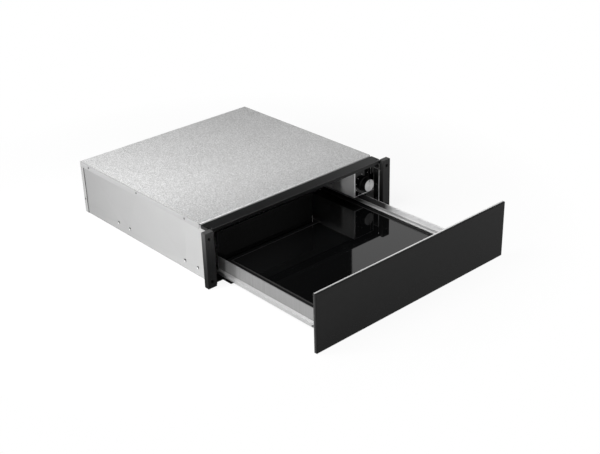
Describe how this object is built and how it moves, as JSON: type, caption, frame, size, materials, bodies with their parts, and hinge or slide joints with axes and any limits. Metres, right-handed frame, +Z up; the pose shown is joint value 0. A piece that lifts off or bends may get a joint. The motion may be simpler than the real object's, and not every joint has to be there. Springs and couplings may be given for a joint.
{
  "type": "built-in warming drawer",
  "caption": "Built-in warming drawer with a black glass front on ball slides, a glass-based tray, a knob inside the front and a fan heater behind.",
  "frame": {"origin": "the middle of the casing's underside: half its width, and half its depth behind the cabinet's front plane", "axes": "+X to the right seen from the front, +Y back into the cabinet, +Z up"},
  "size_m": [0.595, 0.9147, 0.142],
  "materials": {
    "galvanised": "zinc-coated sheet, fine spangle",
    "side_sheet": "smooth zinc-coated sheet",
    "black_frame": "satin black powder coat",
    "front_glass": "black-backed glass",
    "front_rim": "brushed rim and back",
    "brushed_steel": "fine brushed stainless steel",
    "rail_steel": "zinc-plated slide steel",
    "rail_dark": "dark slide steel",
    "ball_steel": "polished balls",
    "base_glass": "hardened black glass",
    "black_trim": "black anodised frame",
    "seal": "black silicone",
    "black_gloss": "deep gloss black",
    "back_wall": "gloss black enamel",
    "knob_black": "satin black plastic",
    "knob_metal": "turned aluminium",
    "lens": "clear light guide",
    "screw_steel": "zinc-plated screw",
    "motor_metal": "laminated core",
    "fan_metal": "bare aluminium",
    "heater": "heat-darkened steel sheath",
    "brass": "plain brass",
    "cream_plastic": "moulded plastic",
    "black_plastic": "moulded plastic",
    "plunger": "smooth grey plastic"
  },
  "bodies": {
    "casing": {"base_pan": "galvanised", "top_plate": "galvanised", "left_side_wall": "side_sheet", "right_side_wall": "side_sheet", "rear_plate": "galvanised", "front_top_bar": "black_frame", "left_front_post": "black_frame", "right_front_post": "black_frame", "bottom_front_rail": "black_frame", "bar_screws": "screw_steel", "post_rivets": "screw_steel", "casing_screws": "screw_steel", "left_rail_brackets": "side_sheet", "right_rail_brackets": "side_sheet", "left_casing_rail": "rail_steel", "right_casing_rail": "rail_steel", "control_box": "side_sheet", "control_fascia": "black_gloss", "indicator_lens": "lens", "thermostat": "cream_plastic", "blower_housing": "side_sheet", "blower_guard": "heater", "blower_motor": "motor_metal", "motor_screws": "screw_steel", "shaft_bush": "brass", "heater_element": "heater", "thermal_cutout": "black_plastic", "terminal_block": "cream_plastic", "cable_gland": "black_plastic", "latch_body": "cream_plastic"},
    "drawer": {"left_drawer_rail": "rail_steel", "right_drawer_rail": "rail_steel", "rail_screws": "screw_steel", "front_glass": "front_glass", "front_frame": "front_rim", "front_screws": "screw_steel", "left_tray_side": "brushed_steel", "right_tray_side": "brushed_steel", "tray_floor": "brushed_steel", "tray_back_wall": "back_wall", "tray_bay_wall": "brushed_steel", "base_frame": "black_trim", "base_seal": "seal", "base_glass": "base_glass", "latch_striker": "brushed_steel"},
    "middle_rails": {"left_middle_rail": "rail_dark", "right_middle_rail": "rail_dark"},
    "inner_cages": {"inner_ball_cages": "rail_steel", "inner_balls": "ball_steel"},
    "outer_cages": {"outer_ball_cages": "rail_steel", "outer_balls": "ball_steel"},
    "knob": {"knob": "knob_black", "knob_cap": "knob_metal", "knob_spindle": "screw_steel"},
    "fan_rotor": {"fan_wheel": "fan_metal", "fan_shaft": "screw_steel"},
    "latch_plunger": {"latch_plunger": "plunger"}
  },
  "joints": [
    {"name": "drawer_slide", "type": "slide", "parent": "casing", "child": "drawer", "axis": [0, 1, 0], "range_m": [0, 0.35]},
    {"name": "middle_rail_slide", "type": "slide", "parent": "casing", "child": "middle_rails", "axis": [0, 1, 0], "range_m": [0, 0.175]},
    {"name": "inner_cage_slide", "type": "slide", "parent": "casing", "child": "inner_cages", "axis": [0, 1, 0], "range_m": [0, 0.0875]},
    {"name": "outer_cage_slide", "type": "slide", "parent": "casing", "child": "outer_cages", "axis": [0, 1, 0], "range_m": [0, 0.2625]},
    {"name": "knob_turn", "type": "hinge", "parent": "casing", "child": "knob", "pos_m": [0.236, -0.268, 0.08], "axis": [0, 1, 0], "range_deg": [0, 280]},
    {"name": "fan_spin", "type": "hinge", "parent": "casing", "child": "fan_rotor", "pos_m": [0, 0.168, 0.092], "axis": [1, 0, 0], "continuous": true},
    {"name": "latch_press", "type": "slide", "parent": "casing", "child": "latch_plunger", "axis": [0, 1, 0], "range_m": [0, 0.0025], "stiffness_N_per_m": 2000}
  ],
  "couplings": [
    {"joint": "middle_rail_slide", "follows": "drawer_slide", "ratio": 0.5},
    {"joint": "inner_cage_slide", "follows": "drawer_slide", "ratio": 0.25},
    {"joint": "outer_cage_slide", "follows": "drawer_slide", "ratio": 0.75}
  ]
}
